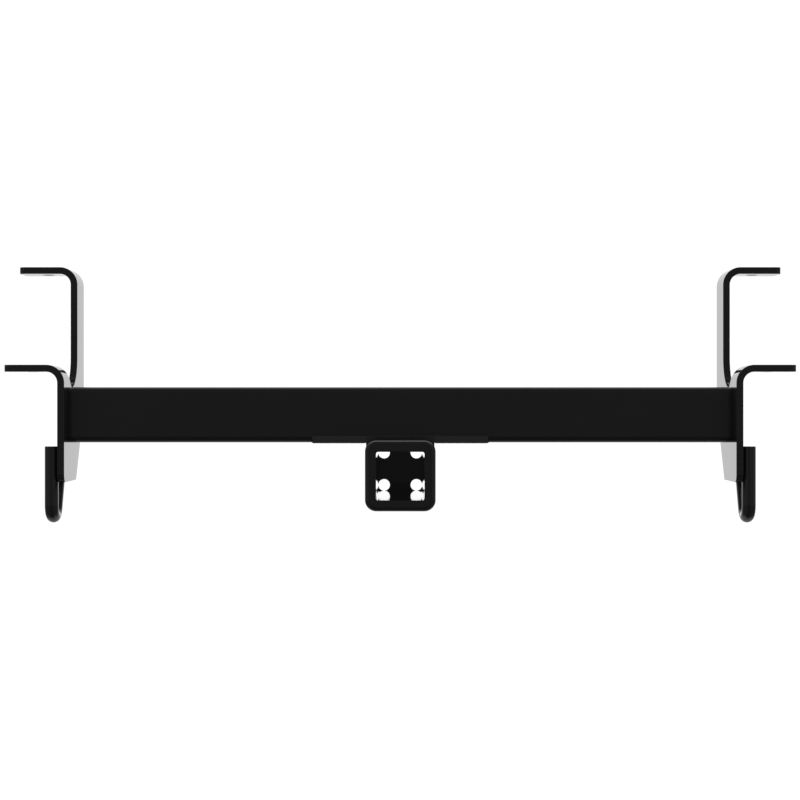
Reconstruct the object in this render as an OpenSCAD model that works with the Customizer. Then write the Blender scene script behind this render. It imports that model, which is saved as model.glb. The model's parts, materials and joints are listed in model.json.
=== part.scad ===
// Front-mount receiver hitch for a vehicle's frame rails.
// Origin at the centre of the receiver's mouth, on the collar's front face.
// +Y runs into the receiver, towards the vehicle; +Z is up; X runs along the cross tube.
// Each welded piece and each weld bead is a solid of its own, face to face with its neighbours.

/* [Receiver] */
// Width and height of the receiver's square opening
socket_w = 52.4; // [51.6:0.2:53.2]
// Outside width and height of the receiver tube
receiver_w = 67.1; // [66.1:0.2:67.1]
// Length of the receiver tube from its mouth to its rear end
receiver_len = 225; // [200:1:230]
// Outside corner radius of the receiver tube
receiver_r = 7.5; // [7:0.1:8]
// Corner radius inside the socket
socket_r = 2.4; // [1:0.2:2.6]
// Diameter of the cross hole for the hitch pin
pin_hole_d = 16.7; // [16.2:0.1:18]
// Distance from the mouth to the pin hole's axis
pin_hole_y = 63.5; // [56:0.5:75]

/* [Collar] */
// Outside width and height of the collar around the mouth
collar_w = 76.8; // [76.8:0.2:80]
// Depth of the collar along the receiver
collar_len = 38.1; // [30:1:44]
// Radius that rounds the collar's front outer edge
collar_edge_r = 4.8; // [2:0.2:4.8]

/* [Back plate] */
// Width and height of the plate that closes the receiver's rear end
back_plate_w = 82; // [80:1:90]
// Thickness of the back plate
back_plate_t = 6.4; // [5:0.2:8]
// Diameter of the back plate's four holes
back_hole_d = 13.8; // [11:0.2:14]
// Centre distance of neighbouring holes in the back plate
back_hole_pitch = 38.6; // [36:0.2:39]

/* [Cross tube] */
// Length of the cross tube between the frame brackets
cross_len = 762.6; // [700:0.2:820]
// Outside width and height of the cross tube
cross_w = 63.5; // [60:0.5:66]
// Wall thickness of the cross tube
cross_wall = 4.8; // [3:0.2:6.4]
// Outside corner radius of the cross tube
cross_r = 7; // [6:0.2:8]
// Distance from the mouth to the cross tube's front face
cross_y = 128; // [124:1:134]

/* [Gusset plate] */
// Thickness of the gusset plate between receiver and cross tube
gusset_t = 7.9; // [6:0.1:9]
// Half of the gusset's width against the cross tube
gusset_half_back = 105; // [90:1:120]
// Half of the gusset's width at its front edge
gusset_half_front = 39; // [36:1:45]
// How far the gusset reaches in front of the cross tube
gusset_reach = 18; // [14:1:22]

/* [Frame brackets] */
// Plate thickness of the two frame brackets
plate_t = 7.94; // [6:0.02:9]
// Inside radius of the bends to the flanges
bend_r = 12.7; // [10:0.1:14]
// Reach of each flange outwards from the plate's inner face
flange_reach = 68.8; // [60:0.2:75]
// Corner radius of the flange tips
flange_tip_r = 6.4; // [3:0.2:9]
// How far the bracket stands in front of the cross tube
bracket_lead = 25; // [20:1:27]
// Depth of the bracket from its front edge to its rear edge
bracket_depth = 137; // [130:1:145]
// Height of the front flange's top face above the receiver's axis
front_flange_z = 122.3; // [118:0.1:130]
// Height of the rear flange's top face above the receiver's axis
rear_flange_z = 239.2; // [200:0.1:260]
// Depth of the front flange
front_flange_depth = 38; // [34:1:40]
// Width of the notch between the front and rear flanges
notch_w = 52; // [48:1:52]
// Radius at the foot of the notch's rear side
notch_rear_r = 36; // [28:1:36]
// Height of the bracket's lowest edge, below the receiver's axis
bracket_drop = 11.4; // [6:0.1:20]
// Height at which the rear edge starts to slope forward
slope_top_z = 72; // [60:1:90]
// How far the sloped rear edge comes forward at the bottom
slope_run = 55; // [40:1:60]
// Diameter of the bolt holes in the flanges
bolt_hole_d = 13.5; // [11:0.1:16]
// Distance of the bolt holes from the plate's inner face
bolt_hole_x = 38.1; // [34:0.1:48]

/* [Tow loops] */
// Diameter of the round bar of the tow loops
bar_d = 15.7; // [13:0.1:18]
// Distance from the bracket's front edge to the front leg's axis
loop_front_y = 10; // [8:0.5:14]
// Height of the front leg's upper end
loop_top_z = 29.6; // [20:0.1:34]
// Height of the loop's lowest point, below the receiver's axis
loop_drop = 58.1; // [52:0.1:70]
// Centreline radius of the loop's bend
loop_bend_r = 13; // [11:0.5:16]
// Backward lean of the rear leg from the vertical, in degrees
loop_lean = 26; // [20:1:30]

/* [Welds] */
// Leg of the fillet beads
weld_leg = 5; // [3:0.5:5]

/* [Hidden] */
$fn = 64;

steel = "#1b1c1e";
bead = "#2a2b2e";
cut = 1;

// Receiver and collar
receiver_half = receiver_w / 2;
receiver_flat = receiver_w - 2 * receiver_r;
collar_wall = (collar_w - receiver_w) / 2;
back_plate_r = 3;

// Cross tube, lying on top of the receiver
cross_mid_y = cross_y + cross_w / 2;
cross_mid_z = receiver_half + cross_w / 2;
cross_back = cross_y + cross_w;
cross_flat = cross_w - 2 * cross_r;

// Frame brackets
plate_in = cross_len / 2;
plate_out = plate_in + plate_t;
front_y = cross_y - bracket_lead;
rear_y = front_y + bracket_depth;
notch_y = front_y + front_flange_depth;
notch_z = receiver_half + cross_w + 0.2;
notch_front_r = notch_w - notch_rear_r;
notch_meet_y = notch_y + notch_front_r;
rear_flange_y = notch_y + notch_w;
bracket_foot_r = 9.5;
flange_holes = [
    [front_y + front_flange_depth / 2, front_flange_z],
    [(rear_flange_y + rear_y) / 2, rear_flange_z]
];

// Tow loops
bar_r = bar_d / 2;
loop_x = plate_out + bar_r;
bend_y = front_y + loop_front_y + loop_bend_r;
bend_z = bar_r + loop_bend_r - loop_drop;
front_leg_len = loop_top_z - bend_z;
rear_leg_short = 5;
rear_leg_len =
    (front_leg_len - rear_leg_short + loop_bend_r * sin(loop_lean)) / cos(loop_lean);
// The bar draws down a little in the bend, whose ends run on into the legs by a small angle
bend_draw = 0.1;
bend_lap = 0.5;

// Beads in the grooves between the round bar and the bracket
groove_root = 2.8;
groove_toe = 10;
groove_touch = 6.6;
groove_h = bar_r - sqrt(bar_r * bar_r - groove_touch * groove_touch);
bead_end_gap = 3;
// Where a bead starts in the wedge under a rounded tube corner
wedge_root = 2.4;

module rounded_square(w, r) {
    square([w, w - 2 * r], center = true);
    square([w - 2 * r, w], center = true);
    for (x = [-1, 1], z = [-1, 1])
        translate([x * (w / 2 - r), z * (w / 2 - r)]) circle(r);
}

// Extrudes an outline drawn in X and Z along +Y, from y to y + len.
module along_y(y, len) {
    translate([0, y + len, 0]) rotate([90, 0, 0]) linear_extrude(len) children();
}

// Extrudes an outline drawn in Y and Z along +X, from x to x + len.
module along_x(x, len) {
    translate([x, 0, 0]) rotate([90, 0, 90]) linear_extrude(len) children();
}

// Sweeps a profile around the receiver tube. The profile's first axis is the height above
// the tube's outer face and its second axis is Y.
module around_receiver() {
    corner = receiver_half - receiver_r;
    for (a = [0:90:270]) rotate([0, a, 0]) {
        along_x(-receiver_flat / 2, receiver_flat)
            translate([0, receiver_half]) mirror([1, -1, 0]) children();
        translate([corner, 0, corner]) rotate([-90, 0, 0]) rotate([0, 0, -90])
            rotate_extrude(angle = 90) translate([receiver_r, 0]) children();
    }
}

module left_side() {
    mirror([1, 0, 0]) children();
}

module cross_tube_outline() {
    translate([cross_mid_y, cross_mid_z]) rounded_square(cross_w, cross_r);
}

module cross_tube() {
    color(steel) along_x(-plate_in, cross_len) difference() {
        cross_tube_outline();
        translate([cross_mid_y, cross_mid_z])
            rounded_square(cross_w - 2 * cross_wall, cross_r - cross_wall);
    }
}

module receiver_tube() {
    color(steel) difference() {
        along_y(0, receiver_len) difference() {
            rounded_square(receiver_w, receiver_r);
            rounded_square(socket_w, socket_r);
        }
        translate([0, pin_hole_y, 0]) rotate([0, 90, 0])
            cylinder(h = receiver_w + 2 * cut, d = pin_hole_d, center = true);
    }
}

// A square ring flush with the tube's mouth, with its front outer edge rolled over.
module receiver_collar() {
    e = collar_edge_r;
    color(steel) around_receiver() {
        translate([0, e]) square([collar_wall, collar_len - e]);
        square([collar_wall - e, e]);
        translate([collar_wall - e, 0]) intersection() {
            translate([0, e]) circle(e);
            square(e);
        }
    }
}

module receiver_back_plate() {
    p = back_hole_pitch / 2;
    color(steel) along_y(receiver_len, back_plate_t) difference() {
        rounded_square(back_plate_w, back_plate_r);
        for (x = [-p, p], z = [-p, p]) translate([x, z]) circle(d = back_hole_d);
    }
}

module gusset_plate() {
    color(steel) translate([0, cross_y, receiver_half]) linear_extrude(gusset_t) polygon([
        [-gusset_half_back, 0], [-gusset_half_front, -gusset_reach],
        [gusset_half_front, -gusset_reach], [gusset_half_back, 0]
    ]);
}

// Section of the bent plate in X and Z, with its flange's top face at height top.
module bent_section(top) {
    turn_x = plate_out + bend_r;
    turn_z = top - plate_t - bend_r;
    translate([plate_in, -bracket_drop]) square([plate_t, turn_z + bracket_drop]);
    translate([turn_x, top - plate_t]) square([plate_in + flange_reach - turn_x, plate_t]);
    translate([turn_x, turn_z]) intersection() {
        difference() {
            circle(bend_r + plate_t);
            circle(bend_r);
        }
        translate([-bend_r - plate_t, 0]) square(bend_r + plate_t);
    }
}

// The notch between the flanges, in Y and Z: two arcs that meet at its foot, open at the top.
module notch() {
    high = rear_flange_z + cut;
    translate([notch_y, notch_z + notch_front_r]) square([notch_front_r, high]);
    translate([notch_meet_y, notch_z + notch_front_r]) circle(notch_front_r);
    translate([notch_meet_y, notch_z + notch_rear_r]) {
        square([notch_rear_r, high]);
        intersection() {
            circle(notch_rear_r);
            translate([0, -notch_rear_r]) square(notch_rear_r);
        }
    }
}

// Side view of the bracket in Y and Z.
module bracket_side() {
    high = rear_flange_z + cut;
    difference() {
        polygon([
            [front_y + bracket_foot_r, -bracket_drop], [rear_y - slope_run, -bracket_drop],
            [rear_y, slope_top_z], [rear_y, high], [front_y, high],
            [front_y, bracket_foot_r - bracket_drop]
        ]);
        notch();
    }
    translate([front_y + bracket_foot_r, bracket_foot_r - bracket_drop]) circle(bracket_foot_r);
}

// Plan view of the bracket in X and Y, with the corners of the flange tips rounded.
module bracket_plan() {
    for (span = [[front_y, front_flange_depth], [rear_flange_y, rear_y - rear_flange_y]])
        translate([plate_in, span[0]]) {
            square([flange_reach - flange_tip_r, span[1]]);
            translate([0, flange_tip_r]) square([flange_reach, span[1] - 2 * flange_tip_r]);
            for (y = [flange_tip_r, span[1] - flange_tip_r])
                translate([flange_reach - flange_tip_r, y]) circle(flange_tip_r);
        }
    translate([plate_in, front_y]) square([plate_t + bend_r, bracket_depth]);
}

// One plate cut to shape and bent outwards to a low front flange and a high rear flange.
module frame_bracket() {
    color(steel) difference() {
        intersection() {
            union() {
                along_y(front_y, notch_meet_y - front_y) bent_section(front_flange_z);
                along_y(notch_meet_y, rear_y - notch_meet_y) bent_section(rear_flange_z);
            }
            along_x(plate_in, flange_reach) bracket_side();
            translate([0, 0, -bracket_drop]) linear_extrude(rear_flange_z + bracket_drop)
                bracket_plan();
        }
        for (hole = flange_holes)
            translate([plate_in + bolt_hole_x, hole[0], hole[1] - plate_t - cut])
                cylinder(h = plate_t + 2 * cut, d = bolt_hole_d);
    }
}

// Puts a shape drawn on the rear leg's axis, from the end of the bend upwards, in its place.
module on_rear_leg() {
    translate([loop_x, bend_y, bend_z]) rotate([-loop_lean, 0, 0])
        translate([0, loop_bend_r, 0]) children();
}

// Round bar bent to a hook: an upright front leg, a bend and a rear leg that leans back.
module tow_loop() {
    color(steel) {
        translate([loop_x, bend_y - loop_bend_r, bend_z]) cylinder(h = front_leg_len, d = bar_d);
        translate([loop_x, bend_y, bend_z]) rotate([0, 90, 0])
            rotate([0, 0, -90 - bend_lap])
                rotate_extrude(angle = 180 - loop_lean + 2 * bend_lap)
                    translate([loop_bend_r, 0]) circle(d = bar_d - bend_draw);
        on_rear_leg() cylinder(h = rear_leg_len, d = bar_d);
    }
}

// Fillet bead up the cross tube's rear face, against the bracket's inner face.
module bracket_weld() {
    color(bead) translate([plate_in, cross_back, cross_mid_z - cross_flat / 2])
        linear_extrude(cross_flat) polygon([[0, 0], [-weld_leg, 0], [0, weld_leg]]);
}

// Fillet bead around the receiver tube at y, which runs away from its plate along side.
module receiver_ring_weld(y, side) {
    color(bead) around_receiver()
        polygon([[0, y], [weld_leg, y], [0, y + side * weld_leg]]);
}

// Bead across the receiver's top, in the wedge under the cross tube's rounded rear corner.
module receiver_rear_weld() {
    root = cross_back - cross_r + wedge_root;
    color(bead) along_x(-receiver_flat / 2, receiver_flat) difference() {
        polygon([
            [root, receiver_half], [cross_back + weld_leg, receiver_half],
            [cross_back, receiver_half + cross_r + 2], [root, receiver_half + cross_r]
        ]);
        cross_tube_outline();
    }
}

// Bead along the receiver's rounded top edge, under the gusset plate and the cross tube.
module receiver_side_weld() {
    root = receiver_half - receiver_r + wedge_root;
    start = cross_y - gusset_reach + bead_end_gap;
    color(bead) along_y(start, cross_back - cross_r - start) difference() {
        polygon([
            [root, receiver_half], [receiver_half + 3, receiver_half],
            [receiver_half, receiver_half - receiver_r - 2], [root, receiver_half - receiver_r]
        ]);
        rounded_square(receiver_w, receiver_r);
    }
}

// Bead under the gusset plate's rear edge, in the wedge below the cross tube's front corner.
module gusset_weld() {
    start = receiver_half + weld_leg;
    color(bead) along_x(start, gusset_half_back - bead_end_gap - start) difference() {
        translate([cross_y, receiver_half - 0.8])
            square([cross_r - wedge_root, cross_r - wedge_root + 0.8]);
        cross_tube_outline();
    }
}

// Section of a bead between the bracket's outer face and the bar, on the bar's +Y side.
module groove_section() {
    difference() {
        polygon([
            [0, groove_root], [0, groove_toe], [groove_h, groove_touch], [groove_h, groove_root]
        ]);
        translate([bar_r, 0]) circle(bar_r);
    }
}

// Bead behind the front leg.
module loop_front_weld() {
    color(bead) translate([plate_out, bend_y - loop_bend_r, bead_end_gap - bracket_drop])
        linear_extrude(loop_top_z + bracket_drop - 2 * bead_end_gap) groove_section();
}

// Beads on both sides of the rear leg, above the bracket's lower edge.
module loop_rear_weld() {
    start = (bead_end_gap - bracket_drop - bend_z + groove_toe) / cos(loop_lean);
    color(bead) on_rear_leg() for (side = [0, 1]) mirror([0, side, 0])
        translate([-bar_r, 0, start]) linear_extrude(rear_leg_len - bead_end_gap - start)
            groove_section();
}

cross_tube();
receiver_tube();
receiver_collar();
receiver_back_plate();
gusset_plate();
left_side() frame_bracket();  // left_frame_bracket
frame_bracket();  // right_frame_bracket
left_side() tow_loop();  // left_tow_loop
tow_loop();  // right_tow_loop
left_side() bracket_weld();  // left_bracket_weld
bracket_weld();  // right_bracket_weld
receiver_ring_weld(collar_len, 1);  // collar_weld
receiver_ring_weld(receiver_len, -1);  // back_plate_weld
receiver_rear_weld();
left_side() receiver_side_weld();  // receiver_left_weld
receiver_side_weld();  // receiver_right_weld
left_side() gusset_weld();  // gusset_left_weld
gusset_weld();  // gusset_right_weld
left_side() loop_front_weld();  // left_loop_front_weld
loop_front_weld();  // right_loop_front_weld
left_side() loop_rear_weld();  // left_loop_rear_weld
loop_rear_weld();  // right_loop_rear_weld
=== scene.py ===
import json
import math

import bmesh
import bpy
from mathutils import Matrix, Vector
from mathutils.geometry import tessellate_polygon

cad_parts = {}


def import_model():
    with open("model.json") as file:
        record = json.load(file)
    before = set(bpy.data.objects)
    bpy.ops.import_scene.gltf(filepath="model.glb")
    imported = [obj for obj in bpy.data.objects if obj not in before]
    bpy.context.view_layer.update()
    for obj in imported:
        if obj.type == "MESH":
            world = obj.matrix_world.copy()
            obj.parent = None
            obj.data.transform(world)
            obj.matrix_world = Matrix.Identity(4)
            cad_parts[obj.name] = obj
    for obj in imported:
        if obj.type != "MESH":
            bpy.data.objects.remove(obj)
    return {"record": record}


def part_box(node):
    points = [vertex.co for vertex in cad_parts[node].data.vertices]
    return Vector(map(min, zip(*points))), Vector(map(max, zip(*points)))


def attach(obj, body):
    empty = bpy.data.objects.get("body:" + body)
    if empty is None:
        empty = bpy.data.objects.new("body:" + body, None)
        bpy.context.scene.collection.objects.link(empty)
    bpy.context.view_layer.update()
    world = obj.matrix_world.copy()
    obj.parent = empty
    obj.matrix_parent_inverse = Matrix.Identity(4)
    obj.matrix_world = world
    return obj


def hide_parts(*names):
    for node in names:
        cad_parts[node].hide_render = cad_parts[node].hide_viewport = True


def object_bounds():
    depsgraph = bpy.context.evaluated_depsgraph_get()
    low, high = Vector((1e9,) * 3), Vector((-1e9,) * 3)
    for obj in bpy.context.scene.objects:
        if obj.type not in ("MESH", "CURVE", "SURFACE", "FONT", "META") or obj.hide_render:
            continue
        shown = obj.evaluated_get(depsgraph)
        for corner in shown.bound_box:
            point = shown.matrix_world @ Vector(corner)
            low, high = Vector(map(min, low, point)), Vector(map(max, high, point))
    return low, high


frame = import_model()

cad_lo, cad_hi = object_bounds()
MM = 0.001

# Sizes in millimetres that the boxes of the part's nodes don't tell
PLATE_T = 7.94
BEND_R = 12.7
FLANGE_TIP_R = 6.4
FOOT_R = 9.5
FRONT_FLANGE_DEPTH = 38.0
NOTCH_W = 52.0
NOTCH_REAR_R = 36.0
NOTCH_FOOT_LIFT = 0.2
SLOPE_TOP_Z = 72.0
SLOPE_RUN = 55.0
TUBE_R = 7.0
TUBE_WALL = 4.8
RECEIVER_R = 7.5
SOCKET_HALF = 26.2
SOCKET_R = 2.4
TUBE_STRAIGHT = 18.0  # half of each wall that stays as drawn while its corners are wrapped
COLLAR_EDGE_R = 4.8
BACK_PLATE_R = 3.0
GUSSET_HALF_FRONT = 39.0
GUSSET_FRONT_R = 3.6
GUSSET_TIP_R = 0.6
LOOP_BEND_R = 13.0
LOOP_LEAN = 26.0
REAR_LEG_SHORT = 5.0

# Radii of the softened edges, in millimetres
CUT_EDGE = 0.5
HOLE_EDGE = 0.2
SEAM_EDGE = 0.04
TUBE_END_EDGE = 0.3
BAR_EDGE = 1.0
TINY_CORNER = 1.2

# How finely curves are drawn
EDGE_STEPS = 4
BEND_STEPS = 24
LOOP_STEPS = 40
ROUND_STEPS = 48
ARC_STEP_DEGREES = 4
SAME_POINT = 1e-6
SAME_VERTEX = 1e-4
ON_CUT = 1e-5

# Gloss coat: patches, orange peel and reflection
PATCH_SCALE = 9.0
PATCH_DETAIL = 3.0
PEEL_SCALE = 420.0
PEEL_DETAIL = 1.5
PEEL_DEPTH = 0.0002
COOL_TINT = 1.04
COAT_IOR = 1.5

# Weld beads, in millimetres. A bead's toes are the two edges of its face, each given as a
# distance along the bead's two leg directions; a trim keeps a bead that much inside its node.
RIPPLE_PITCH = 2.4
RIPPLE_HEIGHT = 0.35
RIPPLE_LAG = 0.45
RIPPLE_WOBBLES = ((0.12, 0.71, 0.0), (0.08, 1.93, 1.0))  # share, rate along the bead, phase
BEAD_BULGE = 0.12
BEAD_ROOT = 0.45
BEAD_STEP = 0.4
BEAD_ACROSS = 8
BEAD_TAPER = 2.5
BEAD_TIP = 0.02
EMBED = 0.3
RING_LEG_SHARE = 0.9
REAR_TRIM_Y, REAR_TRIM_Z = 0.6, 1.2
SIDE_TRIM_X, SIDE_TRIM_Z = 0.4, 1.0
BRACKET_TRIM = 0.4
GUSSET_BEAD_LIFT = 0.8
GUSSET_TOES = (4.4, -0.2), (0.1, -0.4)
LOOP_TOES = (0, 9.6), (3.2, 6.4)

# Camera: level, in front of the mouth, looking along +Y.
EYE_X = -0.0003
EYE_DISTANCE = 2.082
EYE_HEIGHT = 0.0823
LENS = 86.7
SENSOR = 36.0
CLIP_END = 100

# Stage: a white that just clips, and a floor out of the object's way
WHITE_GLOW = 1.05
FLOOR_SIZE = 16.0
FLOOR_DROP = 1.8

# Light tent: glows, and where they fade, as shares of the tent's radius
TENT_RADIUS = 6.0
TENT_SEGMENTS = 64
TENT_RINGS = 32
BAND_FADE = 0.80, 0.45
REAR_FADE, REAR_GLOW = (-0.05, 0.25), 0.72
CENTRE_FADE, CENTRE_GLOW = (0.957, 0.99), 0.44
LOW_FADE, LOW_SHARE = (-0.066, -0.052), 0.74
SKY_FADE = -0.16, -0.04
DIM_ABOVE = 0.135
DIM_BELOW = 0.06
SIDE_FADE, SIDE_GLOW = (0.15, 0.60), 0.09


# ---------------------------------------------------------------- materials
def node_of(tree, kind, **inputs):
    node = tree.nodes.new(kind)
    for name, value in inputs.items():
        node.inputs[name.replace("_", " ")].default_value = value
    return node


def powder_coat(name, low, high, gloss_low, gloss_high, peel_strength):
    """Gloss black coat with faint patches of colour and gloss and a slight orange peel.

    low and high are its darkest and lightest grey, gloss_low and gloss_high its roughness."""
    mat = bpy.data.materials.new(name)
    mat.use_nodes = True
    tree = mat.node_tree
    shader = tree.nodes["Principled BSDF"]
    coords = tree.nodes.new("ShaderNodeTexCoord")

    patches = node_of(tree, "ShaderNodeTexNoise", Scale=PATCH_SCALE, Detail=PATCH_DETAIL)
    tree.links.new(coords.outputs["Object"], patches.inputs["Vector"])
    tint = tree.nodes.new("ShaderNodeValToRGB")
    for stop, grey in zip(tint.color_ramp.elements, (low, high)):
        stop.color = (grey, grey, grey * COOL_TINT, 1)
    tree.links.new(patches.outputs["Fac"], tint.inputs["Fac"])
    tree.links.new(tint.outputs["Color"], shader.inputs["Base Color"])

    gloss = node_of(tree, "ShaderNodeMapRange", To_Min=gloss_low, To_Max=gloss_high)
    tree.links.new(patches.outputs["Fac"], gloss.inputs["Value"])
    tree.links.new(gloss.outputs["Result"], shader.inputs["Roughness"])

    peel = node_of(tree, "ShaderNodeTexNoise", Scale=PEEL_SCALE, Detail=PEEL_DETAIL)
    tree.links.new(coords.outputs["Object"], peel.inputs["Vector"])
    bump = node_of(tree, "ShaderNodeBump", Strength=peel_strength, Distance=PEEL_DEPTH)
    tree.links.new(peel.outputs["Fac"], bump.inputs["Height"])
    tree.links.new(bump.outputs["Normal"], shader.inputs["Normal"])
    shader.inputs["IOR"].default_value = COAT_IOR
    return mat


COATS = {
    "powder_coat": powder_coat("gloss_black_powder_coat", low=0.029, high=0.036,
                               gloss_low=0.036, gloss_high=0.072, peel_strength=0.035),
    "coated_weld": powder_coat("coated_weld_metal", low=0.029, high=0.040,
                               gloss_low=0.10, gloss_high=0.18, peel_strength=0.12),
}
# A lighter, rougher copy of the black coat for the gusset plate. Its lighter grey is painted
# light, standing in for the light that its cut front edge catches.
GUSSET_PAINTED_LIGHT_COAT = powder_coat("gusset_coat_painted_light", low=0.040, high=0.050,
                        gloss_low=0.08, gloss_high=0.14, peel_strength=0.05)


# ---------------------------------------------------------------- outlines in two dimensions
def arc(cx, cy, r, start, end, steps, sign=1.0):
    """Points on an arc with their outward normals; angles in degrees."""
    points = []
    for i in range(steps + 1):
        a = math.radians(start + (end - start) * i / steps)
        c, s = math.cos(a), math.sin(a)
        points.append((cx + r * c, cy + r * s, sign * c, sign * s))
    return points


def fillet_outline(corners):
    """Outline through (x, y, radius) corners, counter-clockwise, each corner rounded."""
    outline = []
    count = len(corners)
    for i in range(count):
        here = Vector(corners[i][:2])
        r = corners[i][2]
        back = (Vector(corners[i - 1][:2]) - here).normalized()
        ahead = (Vector(corners[(i + 1) % count][:2]) - here).normalized()
        half = math.acos(max(-1.0, min(1.0, back.dot(ahead)))) / 2
        centre = here + (back + ahead).normalized() * (r / math.sin(half))
        convex = (ahead.x * back.y - ahead.y * back.x) > 0
        first = here + back * (r / math.tan(half)) - centre
        last = here + ahead * (r / math.tan(half)) - centre
        start = math.degrees(math.atan2(first.y, first.x))
        sweep = math.degrees(math.atan2(last.y, last.x)) - start
        sweep = (sweep + 180) % 360 - 180
        steps = max(3, int(abs(sweep) / ARC_STEP_DEGREES))
        sign = 1.0 if convex else -1.0
        outline += arc(centre.x, centre.y, r, start, start + sweep, steps, sign)
    return [here for here, last in zip(outline, outline[-1:] + outline)
            if math.dist(here[:2], last[:2]) > SAME_POINT]


def rounded_square(w, r):
    h = w / 2
    return fillet_outline([(-h, -h, r), (h, -h, r), (h, h, r), (-h, h, r)])


def round_hole(x, y, r):
    """A hole's outline; its normals point into the hole, out of the material."""
    return arc(x, y, r, 360, 360 / ROUND_STEPS, ROUND_STEPS - 1, -1.0)


def hole_from(outline):
    """Turns an outline into a hole of the same shape."""
    return [(x, y, -nx, -ny) for x, y, nx, ny in reversed(outline)]


# ---------------------------------------------------------------- solids with exact normals
def plate_mesh(loops, thickness):
    """Closed plate. loops: (outline, near edge radius, far edge radius), the outer loop first.

    The plate's outline lies in X and Y and its depth runs along Z, from 0 to thickness. Every
    vertex keeps its exact normal in a layer, so that flat faces stay flat and round ones round."""
    bm = bmesh.new()
    layer = bm.verts.layers.float_vector.new("exact")

    def vert(p, n):
        made = bm.verts.new(p)
        made[layer] = Vector(n)
        return made

    caps = {0: [], 1: []}
    for outline, near, far in loops:
        profile = []
        for edge, is_far in ((near, False), (far, True)):
            for i in range(EDGE_STEPS + 1):
                a = math.pi / 2 * (EDGE_STEPS - i if is_far else i) / EDGE_STEPS
                inset = edge * (1 - math.sin(a))
                depth = edge * (1 - math.cos(a))
                w = thickness - depth if is_far else depth
                profile.append((inset, w, math.sin(a), (1 if is_far else -1) * math.cos(a)))
        rings = [[vert((x - nx * inset, y - ny * inset, w), (nx * out, ny * out, axial))
                  for x, y, nx, ny in outline] for inset, w, out, axial in profile]
        for low, high in zip(rings, rings[1:]):
            for i in range(len(outline)):
                j = (i + 1) % len(outline)
                bm.faces.new((low[i], low[j], high[j], high[i]))
        caps[0].append(rings[0])
        caps[1].append(rings[-1])
    for side, rings in caps.items():
        flat = [v for ring in rings for v in ring]
        for a, b, c in tessellate_polygon([[v.co for v in ring] for ring in rings]):
            if (flat[b].co - flat[a].co).cross(flat[c].co - flat[a].co).z > 0:
                a, c = c, a
            order = (a, b, c) if side == 0 else (c, b, a)
            bm.faces.new([flat[k] for k in order])
    return bm, layer


def cut_rows(bm, axis, values):
    """Splits the mesh at planes across an axis, so that it can bend there."""
    for value in values:
        spot, direction = Vector((0, 0, 0)), Vector((0, 0, 0))
        spot[axis], direction[axis] = value, 1.0
        geom = bm.verts[:] + bm.edges[:] + bm.faces[:]
        bmesh.ops.bisect_plane(bm, geom=geom, dist=ON_CUT, plane_co=spot, plane_no=direction)


def finish_piece(bm, layer, name, node, slot, place, flip=False):
    """Turns a mesh into a named piece that stands for a CAD node.

    place gives a vertex's position in millimetres and its normal in the part's frame."""
    bmesh.ops.triangulate(bm, faces=[f for f in bm.faces if len(f.verts) > 4])
    normals = []
    for v in bm.verts:
        p, n = place(v.co.copy(), v[layer].copy())
        v.co = Vector(p) * MM
        normals.append(Vector(n).normalized())
    if flip:
        bmesh.ops.reverse_faces(bm, faces=bm.faces[:])
    bm.verts.layers.float_vector.remove(layer)
    mesh = bpy.data.meshes.new(name)
    bm.to_mesh(mesh)
    bm.free()
    for poly in mesh.polygons:
        poly.use_smooth = True
    mesh.normals_split_custom_set_from_vertices(normals)
    return add_piece(mesh, name, node, slot)


def add_piece(mesh, name, node, slot):
    """Adds a piece that rides on the part's one body and stands for a CAD node."""
    mesh.materials.append(COATS[slot])
    obj = bpy.data.objects.new(name, mesh)
    bpy.context.scene.collection.objects.link(obj)
    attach(obj, "root")
    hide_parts(node)
    return obj


def box_mm(node):
    """Low and high corner of a node's box, in millimetres."""
    lo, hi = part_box(node)
    return lo / MM, hi / MM


def record_mounts():
    """The record's mounts by name."""
    return {mount["name"]: mount for mount in frame["record"]["mounts"]}


# ---------------------------------------------------------------- tubes and flat plates
def along_y(y):
    """Stands a plate upright across the receiver's axis, with its depth along +Y from y."""
    return lambda p, n: ((p.x, y + p.z, p.y), (n.x, n.z, n.y))


def cross_tube():
    lo, hi = box_mm("cross_tube")
    w = hi.z - lo.z
    centre = (lo + hi) / 2
    bm, layer = plate_mesh([
        (rounded_square(w, TUBE_R), TUBE_END_EDGE, TUBE_END_EDGE),
        (hole_from(rounded_square(w - 2 * TUBE_WALL, TUBE_R - TUBE_WALL)),
         TUBE_END_EDGE, TUBE_END_EDGE),
    ], hi.x - lo.x)
    finish_piece(bm, layer, "cross_tube_skin", "cross_tube", "powder_coat", lambda p, n: (
        (lo.x + p.z, centre.y + p.x, centre.z + p.y), (n.z, n.x, n.y)))


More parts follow.
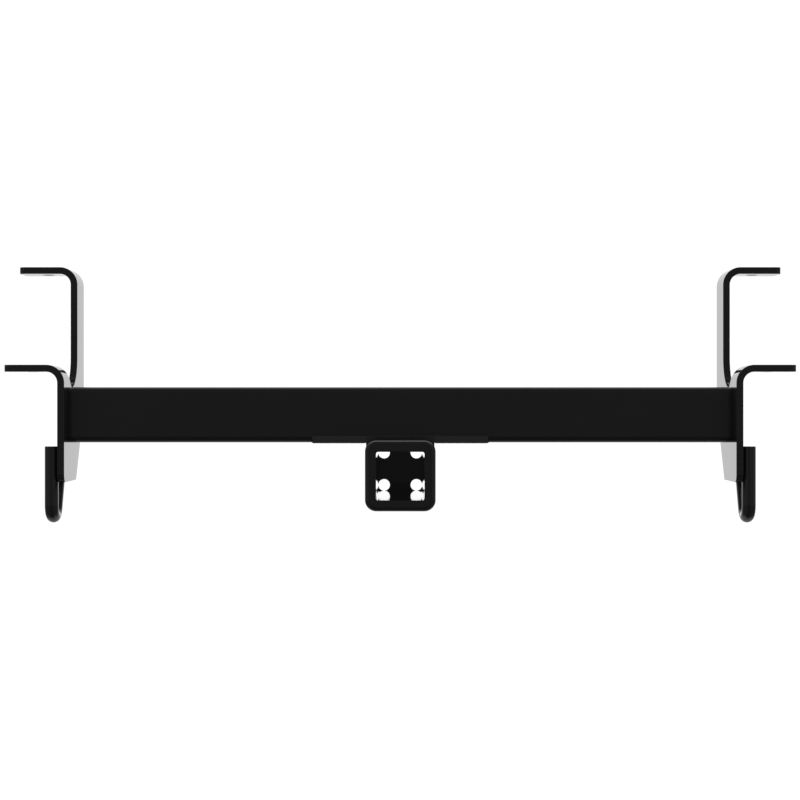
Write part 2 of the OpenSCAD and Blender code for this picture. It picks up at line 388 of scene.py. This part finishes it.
def receiver_tube():
    """The tube's wall is drawn flat, with both pin holes, and wrapped around the socket.

    In the flat drawing X runs around the tube: walls and corners take turns, each corner
    BEND_STEPS wide, and every corner of the wall is turned about its own centre."""
    lo, hi = box_mm("receiver_tube")
    half = (hi.x - lo.x) / 2
    pin = record_mounts()["receiver_pin_hole"]
    pin_y, pin_r = pin["pos_m"][1] / MM, pin["dims"]["r_mm"]
    flat, inner_flat = half - RECEIVER_R, SOCKET_HALF - SOCKET_R
    corners = ((flat, RECEIVER_R), (inner_flat, SOCKET_R))
    pitch = 2 * flat + BEND_STEPS
    around = 4 * pitch
    wall = half - SOCKET_HALF

    # The seam lies in the middle of the bottom wall, and the pin holes in the two side walls
    outline = [(0, lo.y, 0, -1), (around, lo.y, 0, -1), (around, hi.y, 0, 1), (0, hi.y, 0, 1)]
    holes = [(round_hole(pitch * turn, pin_y, pin_r), HOLE_EDGE, HOLE_EDGE) for turn in (1, 3)]
    bm, layer = plate_mesh([(outline, SEAM_EDGE, CUT_EDGE)] + holes, wall)
    seam = [f for f in bm.faces if all(v.co.x < SAME_VERTEX for v in f.verts)
            or all(v.co.x > around - SAME_VERTEX for v in f.verts)]
    bmesh.ops.delete(bm, geom=seam, context="FACES_ONLY")
    rows = []
    for turn in range(5):  # the four walls, and the rest of the bottom one
        middle = pitch * turn
        rows += [middle - flat, middle - TUBE_STRAIGHT, middle + TUBE_STRAIGHT]
        rows += [middle + flat + step for step in range(BEND_STEPS)]
    cut_rows(bm, 0, [row for row in rows if 0 < row < around])

    for v in bm.verts:
        turn = math.floor((v.co.x + flat) / pitch)
        a = v.co.x - turn * pitch
        quarter = math.radians(90 * turn)
        along = Vector((math.cos(quarter), 0, math.sin(quarter)))
        outward = Vector((math.sin(quarter), 0, -math.cos(quarter)))
        theta = max(0.0, math.pi / 2 * (a - flat) / BEND_STEPS)
        radial = outward * math.cos(theta) + along * math.sin(theta)
        tangent = along * math.cos(theta) - outward * math.sin(theta)
        if a <= flat:
            squeeze = (flat - inner_flat) / (flat - TUBE_STRAIGHT)
            shift = math.copysign(max(0.0, abs(a) - TUBE_STRAIGHT) * squeeze, a)
            spots = (along * a + outward * half, along * (a - shift) + outward * SOCKET_HALF)
        else:
            spots = [(along + outward) * centre + radial * r for centre, r in corners]
        spot = spots[0].lerp(spots[1], v.co.z / wall)
        n = v[layer].copy()
        v[layer] = tangent * n.x - radial * n.z + Vector((0, n.y, 0))
        v.co = (spot.x, v.co.y, spot.z)
    bmesh.ops.remove_doubles(bm, verts=bm.verts[:], dist=SAME_VERTEX)
    finish_piece(bm, layer, "receiver_tube_wrapped", "receiver_tube", "powder_coat",
                 lambda p, n: (p, n))


def receiver_collar():
    lo, hi = box_mm("receiver_collar")
    tube_lo, tube_hi = box_mm("receiver_tube")
    w, tube_w = hi.x - lo.x, tube_hi.x - tube_lo.x
    corner = RECEIVER_R + (w - tube_w) / 2
    bm, layer = plate_mesh([
        (rounded_square(w, corner), COLLAR_EDGE_R, CUT_EDGE),
        (hole_from(rounded_square(tube_w, RECEIVER_R)), SEAM_EDGE, SEAM_EDGE),
    ], hi.y - lo.y)
    finish_piece(bm, layer, "receiver_collar_ring", "receiver_collar", "powder_coat",
                 along_y(lo.y), flip=True)


def receiver_back_plate():
    lo, hi = box_mm("receiver_back_plate")
    holes = record_mounts()["back_plate_holes"]["dims"]
    half, r = holes["spacing_x_mm"] / 2, holes["hole_r_mm"]
    loops = [(rounded_square(hi.x - lo.x, BACK_PLATE_R), CUT_EDGE, CUT_EDGE)]
    loops += [(round_hole(x, z, r), HOLE_EDGE, HOLE_EDGE)
              for x in (-half, half) for z in (-half, half)]
    bm, layer = plate_mesh(loops, hi.y - lo.y)
    finish_piece(bm, layer, "back_plate_drilled", "receiver_back_plate", "powder_coat",
                 along_y(lo.y), flip=True)


def gusset_plate():
    lo, hi = box_mm("gusset_plate")
    outline = fillet_outline([
        (-GUSSET_HALF_FRONT, lo.y, GUSSET_FRONT_R), (GUSSET_HALF_FRONT, lo.y, GUSSET_FRONT_R),
        (hi.x, hi.y, GUSSET_TIP_R), (lo.x, hi.y, GUSSET_TIP_R),
    ])
    bm, layer = plate_mesh([(outline, CUT_EDGE, CUT_EDGE)], hi.z - lo.z)
    piece = finish_piece(bm, layer, "gusset_plate_cut", "gusset_plate", "powder_coat",
                         lambda p, n: ((p.x, p.y, lo.z + p.z), (n.x, n.y, n.z)))
    # The gusset gets the lighter copy of the coat: painted light on its cut edge.
    piece.data.materials[0] = GUSSET_PAINTED_LIGHT_COAT


# ---------------------------------------------------------------- bent frame brackets
def frame_bracket(side, sign):
    """The bracket's flat pattern, cut and bent outwards at its two flanges."""
    node = side + "_frame_bracket"
    lo, hi = box_mm(node)
    tube_hi = box_mm("cross_tube")[1]
    mounts = record_mounts()
    tops = (mounts["front_frame_bolts"]["pos_m"][2] / MM, hi.z)
    plate_in = tube_hi.x
    tip_x = max(abs(lo.x), abs(hi.x))
    centre_x = plate_in + PLATE_T + BEND_R
    outer_r = BEND_R + PLATE_T
    bend_len = math.pi / 2 * (BEND_R + PLATE_T / 2)
    turns = [top - outer_r for top in tops]
    ends = [turn + bend_len + tip_x - centre_x for turn in turns]

    notch_y = lo.y + FRONT_FLANGE_DEPTH
    notch_end = notch_y + NOTCH_W
    notch_meet = notch_end - NOTCH_REAR_R
    notch_z = tube_hi.z + NOTCH_FOOT_LIFT
    outline = fillet_outline([
        (lo.y, lo.z, FOOT_R), (hi.y - SLOPE_RUN, lo.z, TINY_CORNER),
        (hi.y, SLOPE_TOP_Z, TINY_CORNER), (hi.y, ends[1], FLANGE_TIP_R),
        (notch_end, ends[1], FLANGE_TIP_R), (notch_end, notch_z, NOTCH_REAR_R),
        (notch_y, notch_z, notch_meet - notch_y), (notch_y, ends[0], FLANGE_TIP_R),
        (lo.y, ends[0], FLANGE_TIP_R),
    ])
    loops = [(outline, CUT_EDGE, CUT_EDGE)]
    for kind, turn in (("front_frame_bolts", turns[0]), ("rear_frame_bolts", turns[1])):
        dims = mounts[kind]["dims"]
        reach = dims["spacing_x_mm"] / 2 - centre_x
        loops.append((round_hole(mounts[kind]["pos_m"][1] / MM, turn + bend_len + reach,
                                 dims["hole_r_mm"]), CUT_EDGE, CUT_EDGE))
    bm, layer = plate_mesh(loops, PLATE_T)
    for turn in turns:
        cut_rows(bm, 1, [turn + bend_len * i / BEND_STEPS for i in range(BEND_STEPS + 1)])

    def place(p, n):
        turn = turns[0] if p.x < notch_meet else turns[1]
        theta = min(max((p.y - turn) / bend_len, 0.0), 1.0) * math.pi / 2
        c, s = math.cos(theta), math.sin(theta)
        r = outer_r - p.z
        if p.y <= turn:
            x, z = plate_in + p.z, p.y
        elif theta < math.pi / 2:
            x, z = centre_x - r * c, turn + r * s
        else:
            x, z = centre_x + p.y - turn - bend_len, turn + r
        normal = (n.y * s + n.z * c, n.x, n.y * c - n.z * s)
        return (sign * x, p.x, z), (sign * normal[0], normal[1], normal[2])

    finish_piece(bm, layer, side + "_bracket_bent_plate", node, "powder_coat", place, sign < 0)


# ---------------------------------------------------------------- round bar tow loops
def tow_loop(side, sign):
    """A round bar swept down the front leg, around the bend and up the leaning rear leg."""
    node = side + "_tow_loop"
    lo, hi = box_mm(node)
    bar_r = (hi.x - lo.x) / 2
    x = abs(lo.x + hi.x) / 2
    front_y = lo.y + bar_r
    bend_y = front_y + LOOP_BEND_R
    bend_z = lo.z + bar_r + LOOP_BEND_R
    lean = math.radians(LOOP_LEAN)
    top_z = hi.z

    path = [(Vector((0, front_y, top_z)), Vector((0, 0, -1)))]
    for i in range(LOOP_STEPS + 1):
        a = (math.pi - lean) * i / LOOP_STEPS
        spot = Vector((0, bend_y - LOOP_BEND_R * math.cos(a), bend_z - LOOP_BEND_R * math.sin(a)))
        path.append((spot, Vector((0, math.sin(a), -math.cos(a)))))
    direction = path[-1][1]
    leg = (top_z - REAR_LEG_SHORT - bend_z + LOOP_BEND_R * math.sin(lean)) / math.cos(lean)
    path.append((path[-1][0] + direction * leg, direction))

    rings = []
    for i, (spot, ahead) in enumerate(path):
        if i in (0, len(path) - 1):
            away = -ahead if i == 0 else ahead
            edge = [(BAR_EDGE * (1 - math.sin(a)), BAR_EDGE * (1 - math.cos(a)), a)
                    for a in (math.pi / 2 * k / EDGE_STEPS for k in range(EDGE_STEPS + 1))]
            rows = [(spot - away * inset, bar_r - shrink, away, a) for inset, shrink, a in edge]
            rings += rows[::-1] if i == 0 else rows
        else:
            rings.append((spot, bar_r, ahead, 0.0))

    bm = bmesh.new()
    layer = bm.verts.layers.float_vector.new("exact")
    made = []
    for k, (spot, r, axis, tilt) in enumerate(rings):
        ahead = path[0][1] if k <= EDGE_STEPS else axis
        across = Vector((1, 0, 0))
        up = ahead.cross(across)
        ring = []
        for j in range(ROUND_STEPS):
            b = 2 * math.pi * j / ROUND_STEPS
            radial = across * math.cos(b) + up * math.sin(b)
            v = bm.verts.new(spot + radial * r)
            v[layer] = radial * math.cos(tilt) + axis * math.sin(tilt)
            ring.append(v)
        made.append(ring)
    for low, high in zip(made, made[1:]):
        for j in range(ROUND_STEPS):
            m = (j + 1) % ROUND_STEPS
            bm.faces.new((low[j], low[m], high[m], high[j]))
    for ring, axis, back in ((made[0], rings[0][2], True), (made[-1], rings[-1][2], False)):
        hub = bm.verts.new(sum((v.co for v in ring), Vector()) / ROUND_STEPS)
        hub[layer] = axis
        for j in range(ROUND_STEPS):
            m = (j + 1) % ROUND_STEPS
            bm.faces.new((hub, ring[m], ring[j]) if back else (hub, ring[j], ring[m]))
    bmesh.ops.recalc_face_normals(bm, faces=bm.faces[:])
    finish_piece(bm, layer, side + "_tow_loop_bar", node, "powder_coat",
                 lambda p, n: ((sign * (x + p.x), p.y, p.z), (sign * n.x, n.y, n.z)), sign < 0)


# ---------------------------------------------------------------- rippled weld beads
def straight(start, end, a, b):
    """Frames along a straight bead from start to end, with its two leg directions a and b.

    A frame is a point, the two directions, the distance so far and the distance to an end."""
    start, end = Vector(start), Vector(end)
    length = (end - start).length
    count = max(4, int(length / BEAD_STEP))
    return [(start.lerp(end, i / count), Vector(a), Vector(b), length * i / count,
             length * min(i, count - i) / count) for i in range(count + 1)]


def around_tube(w, r, y, side):
    """Frames around the receiver tube; the first leg stands out, the second lies along Y."""
    outline = rounded_square(w, r)
    frames = []
    travelled = 0.0
    for (x0, z0, nx0, nz0), (x1, z1, nx1, nz1) in zip(outline, outline[1:] + outline[:1]):
        length = math.hypot(x1 - x0, z1 - z0)
        count = max(1, round(length / BEAD_STEP))
        for i in range(count):
            t = i / count
            out = Vector((nx0 + (nx1 - nx0) * t, 0, nz0 + (nz1 - nz0) * t)).normalized()
            frames.append((Vector((x0 + (x1 - x0) * t, y, z0 + (z1 - z0) * t)), out,
                           Vector((0, side, 0)), travelled + length * t, BEAD_TAPER))
        travelled += length
    return frames


def bead_sections(bm, frames, toe_a, toe_b, closed):
    """Adds one bead: its face runs from toe_a to toe_b, given along the two leg directions."""
    toe_a, toe_b = Vector(toe_a), Vector(toe_b)
    chord = toe_b - toe_a
    out = Vector((chord.y, -chord.x)).normalized()
    if out.dot(toe_a + toe_b) < 0:
        out = -out
    root = (toe_a + toe_b) / 2 - out * chord.length * BEAD_ROOT
    rings = []
    for point, a, b, s, end in frames:
        dome = math.sqrt(max(0.0, 1 - (1 - min(end / BEAD_TAPER, 1.0)) ** 2))
        size = dome * (1 - BEAD_TIP) + BEAD_TIP
        wobble = 1 + sum(share * math.sin(s * rate + phase)
                         for share, rate, phase in RIPPLE_WOBBLES)
        ring = [point + a * root.x + b * root.y]
        for k in range(BEAD_ACROSS + 1):
            w = k / BEAD_ACROSS
            crown = 4 * w * (1 - w)
            turns = s / RIPPLE_PITCH + RIPPLE_LAG * crown
            ripple = RIPPLE_HEIGHT * wobble * abs(math.sin(math.pi * turns)) * crown ** 0.5
            spot = toe_a.lerp(toe_b, w) + out * (chord.length * BEAD_BULGE * crown + ripple)
            spot = root.lerp(spot, size)
            if k in (0, BEAD_ACROSS):
                spot -= out * EMBED * size
            ring.append(point + a * spot.x + b * spot.y)
        rings.append([bm.verts.new(p) for p in ring])
    count = len(rings[0])
    pairs = list(zip(rings, rings[1:])) + ([(rings[-1], rings[0])] if closed else [])
    for low, high in pairs:
        for j in range(count):
            m = (j + 1) % count
            bm.faces.new((low[j], low[m], high[m], high[j]))
    if not closed:
        bm.faces.new(rings[0])
        bm.faces.new(rings[-1])


def bead(node, beads, closed=False):
    """One piece of rippled weld metal from (frames, toe_a, toe_b) entries."""
    bm = bmesh.new()
    for frames, toe_a, toe_b in beads:
        bead_sections(bm, frames, toe_a, toe_b, closed)
    bmesh.ops.recalc_face_normals(bm, faces=bm.faces[:])
    for v in bm.verts:
        v.co *= MM
    mesh = bpy.data.meshes.new(node + "_bead")
    bm.to_mesh(mesh)
    bm.free()
    for poly in mesh.polygons:
        poly.use_smooth = True
    add_piece(mesh, node + "_bead", node, "coated_weld")


def receiver_beads():
    """The beads around the receiver, behind the cross tube and along its top edges."""
    tube_lo, tube_hi = box_mm("receiver_tube")
    w = tube_hi.x - tube_lo.x
    for node, side in (("collar_weld", 1), ("back_plate_weld", -1)):
        lo, hi = box_mm(node)
        leg = (hi.z - w / 2) * RING_LEG_SHARE
        y = lo.y if side > 0 else hi.y
        bead(node, [(around_tube(w, RECEIVER_R, y, side), (leg, 0), (0, leg))], True)

    lo, hi = box_mm("receiver_rear_weld")
    tube_back = box_mm("cross_tube")[1].y
    bead("receiver_rear_weld", [(
        straight((lo.x, tube_back, lo.z), (hi.x, tube_back, lo.z), (0, 1, 0), (0, 0, 1)),
        (hi.y - tube_back - REAR_TRIM_Y, 0), (0, hi.z - lo.z - REAR_TRIM_Z))])

    for side, sign in (("left", -1), ("right", 1)):
        node = "receiver_" + side + "_weld"
        lo, hi = box_mm(node)
        x = sign * w / 2
        reach = max(abs(lo.x), abs(hi.x)) - w / 2
        bead(node, [(straight((x, lo.y, hi.z), (x, hi.y, hi.z), (sign, 0, 0), (0, 0, -1)),
                     (reach - SIDE_TRIM_X, 0), (0, hi.z - lo.z - SIDE_TRIM_Z))])


def side_beads(side, sign):
    """One side's beads: between cross tube and bracket, and under the gusset plate."""
    lo, hi = box_mm(side + "_bracket_weld")
    x = hi.x if sign > 0 else lo.x
    leg = hi.x - lo.x - BRACKET_TRIM
    bead(side + "_bracket_weld", [(
        straight((x, lo.y, lo.z), (x, lo.y, hi.z), (-sign, 0, 0), (0, 1, 0)),
        (leg, 0), (0, leg))])

    lo, hi = box_mm("gusset_" + side + "_weld")
    z = lo.z + GUSSET_BEAD_LIFT
    bead("gusset_" + side + "_weld", [(
        straight((lo.x, lo.y, z), (hi.x, lo.y, z), (0, 1, 0), (0, 0, 1)), *GUSSET_TOES)])


def loop_beads(side, sign):
    """The beads behind a tow loop's front leg and on both sides of its leaning rear leg."""
    lo, hi = box_mm(side + "_tow_loop")
    bar_r = (hi.x - lo.x) / 2
    x = min(abs(lo.x), abs(hi.x))
    front_y = lo.y + bar_r
    lean = math.radians(LOOP_LEAN)

    node = side + "_loop_front_weld"
    lo_w, hi_w = box_mm(node)
    bead(node, [(straight((sign * x, front_y, lo_w.z), (sign * x, front_y, hi_w.z),
                          (sign, 0, 0), (0, 1, 0)), *LOOP_TOES)])

    node = side + "_loop_rear_weld"
    lo_w, hi_w = box_mm(node)
    ahead = Vector((0, math.sin(lean), math.cos(lean)))
    across = Vector((0, math.cos(lean), -math.sin(lean)))
    base = Vector((sign * x, front_y + LOOP_BEND_R, lo.z + bar_r + LOOP_BEND_R))
    base += across * LOOP_BEND_R
    tilt = LOOP_TOES[0][1] * math.sin(lean)
    start = base + ahead * ((lo_w.z - base.z + tilt) / math.cos(lean))
    end = base + ahead * ((hi_w.z - base.z - tilt) / math.cos(lean))
    bead(node, [(straight(start, end, (sign, 0, 0), across * turn), *LOOP_TOES)
                for turn in (1, -1)])


receiver_tube()
cross_tube()
receiver_collar()
receiver_back_plate()
gusset_plate()
receiver_beads()
for side_name, side_sign in (("left", -1), ("right", 1)):
    frame_bracket(side_name, side_sign)
    tow_loop(side_name, side_sign)
    side_beads(side_name, side_sign)
    loop_beads(side_name, side_sign)


# ---------------------------------------------------------------- stage
def emitter(name, strength):
    mat = bpy.data.materials.new(name)
    mat.use_nodes = True
    tree = mat.node_tree
    tree.nodes.clear()
    out = tree.nodes.new("ShaderNodeOutputMaterial")
    glow = node_of(tree, "ShaderNodeEmission", Strength=strength)
    tree.links.new(glow.outputs["Emission"], out.inputs["Surface"])
    return mat


def floor_plane():
    mesh = bpy.data.meshes.new("floor")
    h = FLOOR_SIZE / 2
    z = cad_lo.z - FLOOR_DROP
    mesh.from_pydata([(-h, -h, z), (h, -h, z), (h, h, z), (-h, h, z)], [], [(0, 1, 2, 3)])
    obj = bpy.data.objects.new("floor", mesh)
    mesh.materials.append(emitter("pale_floor", WHITE_GLOW))
    bpy.context.scene.collection.objects.link(obj)
    obj.visible_glossy = False
    obj.visible_diffuse = False


def smooth_range(tree, source, start, end, low=0.0, high=1.0):
    """Value that goes smoothly from low to high as source goes from start to end."""
    ramp = node_of(tree, "ShaderNodeMapRange",
                   From_Min=start, From_Max=end, To_Min=low, To_Max=high)
    ramp.interpolation_type = "SMOOTHSTEP"
    tree.links.new(source, ramp.inputs["Value"])
    return ramp.outputs["Result"]


def math_node(tree, operation, *sources):
    """Result of a sum, a product or another operation on one or two node outputs."""
    node = tree.nodes.new("ShaderNodeMath")
    node.operation = operation
    for source, socket in zip(sources, node.inputs):
        tree.links.new(source, socket)
    return node.outputs["Value"]


def tent():
    """A light tent: a bright upright band behind the object, over it and under it.

    The rest of it is dim, a little brighter above and at the sides than below."""
    mesh = bpy.data.meshes.new("tent")
    bm = bmesh.new()
    bmesh.ops.create_uvsphere(bm, u_segments=TENT_SEGMENTS, v_segments=TENT_RINGS, radius=1.0)
    bm.to_mesh(mesh)
    bm.free()
    obj = bpy.data.objects.new("tent", mesh)
    obj.scale = (TENT_RADIUS,) * 3
    bpy.context.scene.collection.objects.link(obj)
    obj.visible_camera = False

    mat = bpy.data.materials.new("tent_glow")
    mat.use_nodes = True
    tree = mat.node_tree
    tree.nodes.clear()
    out = tree.nodes.new("ShaderNodeOutputMaterial")
    glow = tree.nodes.new("ShaderNodeEmission")
    coords = tree.nodes.new("ShaderNodeTexCoord")
    split = tree.nodes.new("ShaderNodeSeparateXYZ")
    tree.links.new(coords.outputs["Object"], split.inputs["Vector"])
    across = math_node(tree, "ABSOLUTE", split.outputs["X"])
    band = smooth_range(tree, across, *BAND_FADE)
    rear = smooth_range(tree, split.outputs["Y"], *REAR_FADE, 0.0, REAR_GLOW)
    centre = smooth_range(tree, split.outputs["Y"], *CENTRE_FADE, 0.0, CENTRE_GLOW)
    behind = math_node(tree, "ADD", rear, centre)
    low = smooth_range(tree, split.outputs["Z"], *LOW_FADE, LOW_SHARE, 1.0)
    bright = math_node(tree, "MULTIPLY", math_node(tree, "MULTIPLY", band, behind), low)
    sky = smooth_range(tree, split.outputs["Z"], *SKY_FADE, DIM_BELOW, DIM_ABOVE)
    sides = smooth_range(tree, across, *SIDE_FADE, 0.0, SIDE_GLOW)
    total = math_node(tree, "ADD", bright, math_node(tree, "ADD", sky, sides))
    tree.links.new(total, glow.inputs["Strength"])
    tree.links.new(glow.outputs["Emission"], out.inputs["Surface"])
    mesh.materials.append(mat)


def world():
    made = bpy.data.worlds.new("studio")
    bpy.context.scene.world = made
    made.use_nodes = True
    background = made.node_tree.nodes["Background"]
    background.inputs["Color"].default_value = (1, 1, 1, 1)
    background.inputs["Strength"].default_value = WHITE_GLOW


def camera():
    data = bpy.data.cameras.new("camera")
    data.lens = LENS
    data.sensor_width = SENSOR
    data.clip_end = CLIP_END
    obj = bpy.data.objects.new("camera", data)
    obj.location = (EYE_X, -EYE_DISTANCE, EYE_HEIGHT)
    obj.rotation_euler = (math.radians(90), 0, 0)
    bpy.context.scene.collection.objects.link(obj)
    bpy.context.scene.camera = obj


floor_plane()
tent()
world()
camera()
bpy.context.scene.view_settings.view_transform = "Standard"
